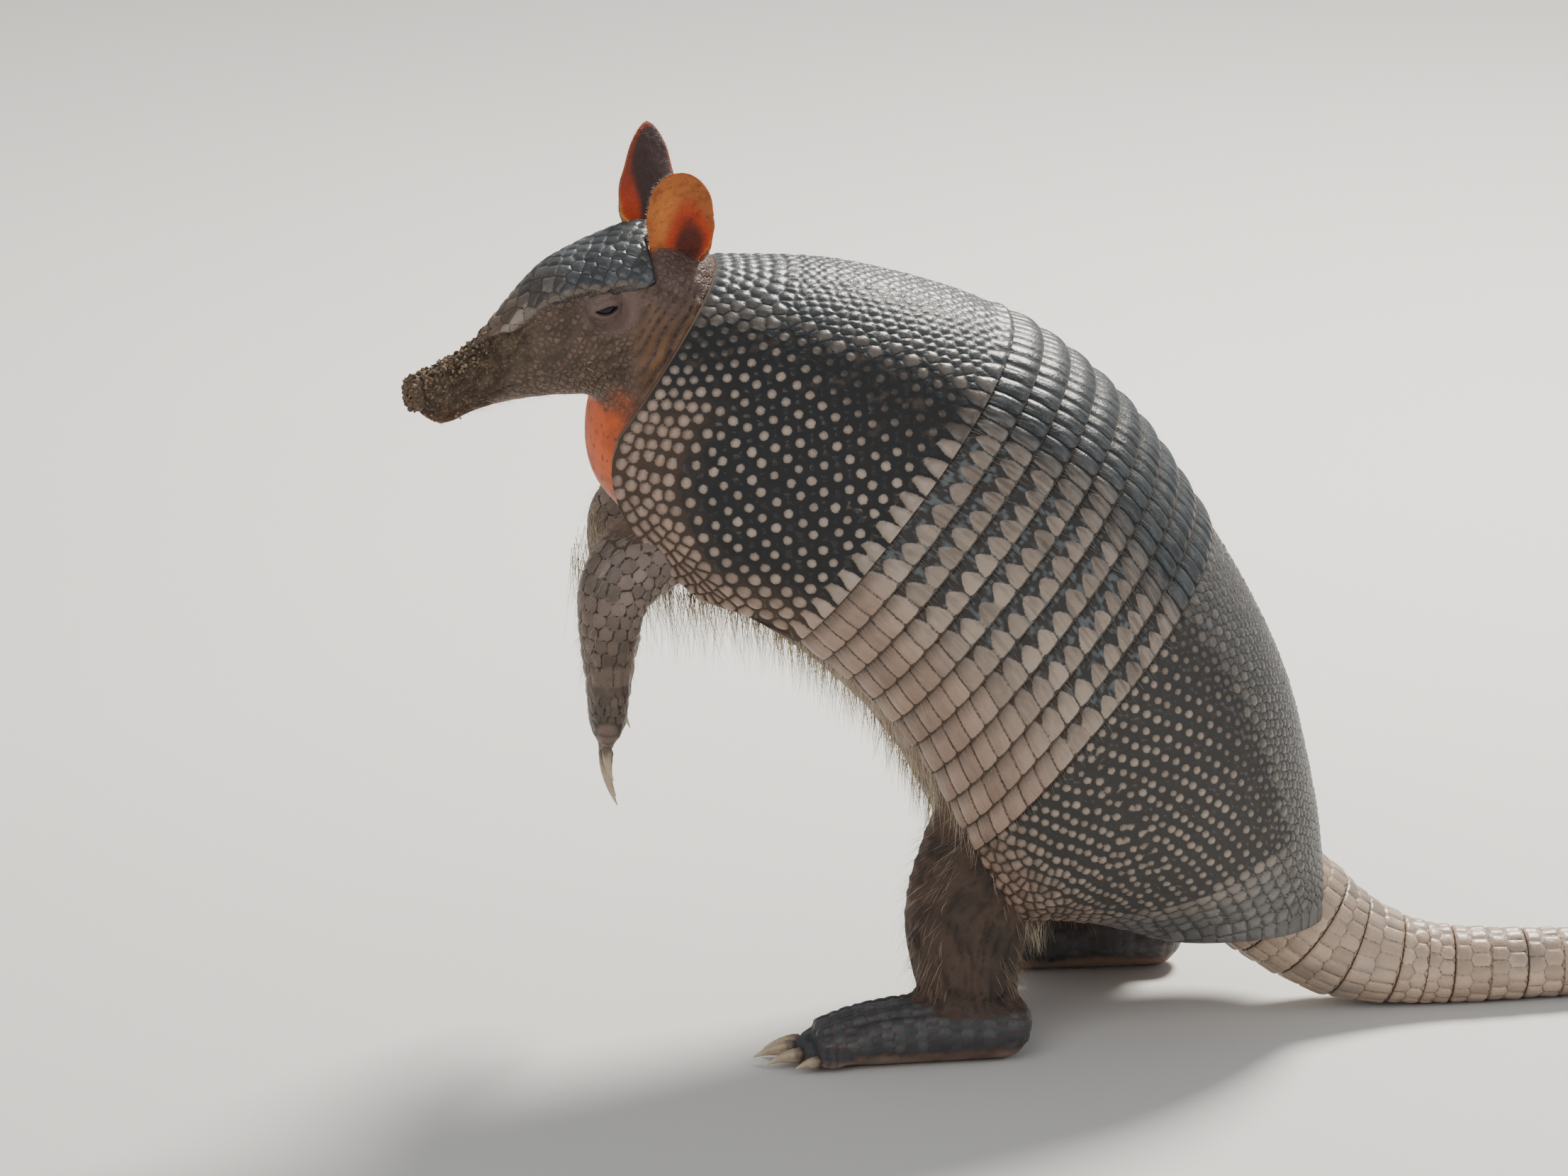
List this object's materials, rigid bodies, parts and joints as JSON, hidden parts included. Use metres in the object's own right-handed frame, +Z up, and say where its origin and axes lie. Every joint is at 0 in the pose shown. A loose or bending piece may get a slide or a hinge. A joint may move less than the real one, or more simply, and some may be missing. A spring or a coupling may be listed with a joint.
{
  "type": "nine-banded armadillo",
  "caption": "Life-size nine-banded armadillo standing upright on its hind feet and tail, forelegs hanging, head held level, banded bony shell over the back.",
  "frame": {"origin": "centre of the underside of the bounding box, on the floor the animal stands on", "axes": "+X along the floor from the muzzle to the tip of the tail, +Y to the animal's right side, +Z up"},
  "size_m": [0.5784, 0.1228, 0.2726],
  "materials": {
    "shell": "horny, semi-gloss, dark slate with pale scutes",
    "band": "horny, semi-gloss, pale scutes with brown gaps",
    "skin": "matte leathery skin with small scales",
    "ear": "thin pebbled skin, light shows through it",
    "nose": "damp bare skin",
    "eye": "wet and glossy",
    "claw": "smooth horn",
    "tail": "horny rings of scales"
  },
  "bodies": {
    "root": {"trunk": "skin", "shoulder_shield": "shell", "band_1": "band", "band_2": "band", "band_3": "band", "band_4": "band", "band_5": "band", "band_6": "band", "band_7": "band", "band_8": "band", "band_9": "band", "rump_shield": "shell", "head": "skin", "head_shield": "shell", "nose": "nose", "eye_left": "eye", "eye_right": "eye", "ear_left": "ear", "ear_right": "ear", "neck": "skin", "foreleg_left": "skin", "forepaw_left": "skin", "foreclaw_left_1": "claw", "foreclaw_left_2": "claw", "foreclaw_left_3": "claw", "foreclaw_left_4": "claw", "foreleg_right": "skin", "forepaw_right": "skin", "foreclaw_right_1": "claw", "foreclaw_right_2": "claw", "foreclaw_right_3": "claw", "foreclaw_right_4": "claw", "hindleg_left": "skin", "hindfoot_left": "skin", "hindclaw_left_1": "claw", "hindclaw_left_2": "claw", "hindclaw_left_3": "claw", "hindclaw_left_4": "claw", "hindclaw_left_5": "claw", "hindleg_right": "skin", "hindfoot_right": "skin", "hindclaw_right_1": "claw", "hindclaw_right_2": "claw", "hindclaw_right_3": "claw", "hindclaw_right_4": "claw", "hindclaw_right_5": "claw", "tail_1": "tail", "tail_2": "tail", "tail_3": "tail", "tail_4": "tail", "tail_5": "tail", "tail_6": "tail", "tail_7": "tail", "tail_8": "tail", "tail_9": "tail", "tail_10": "tail", "tail_11": "tail", "tail_tip": "tail"}
  },
  "joints": []
}
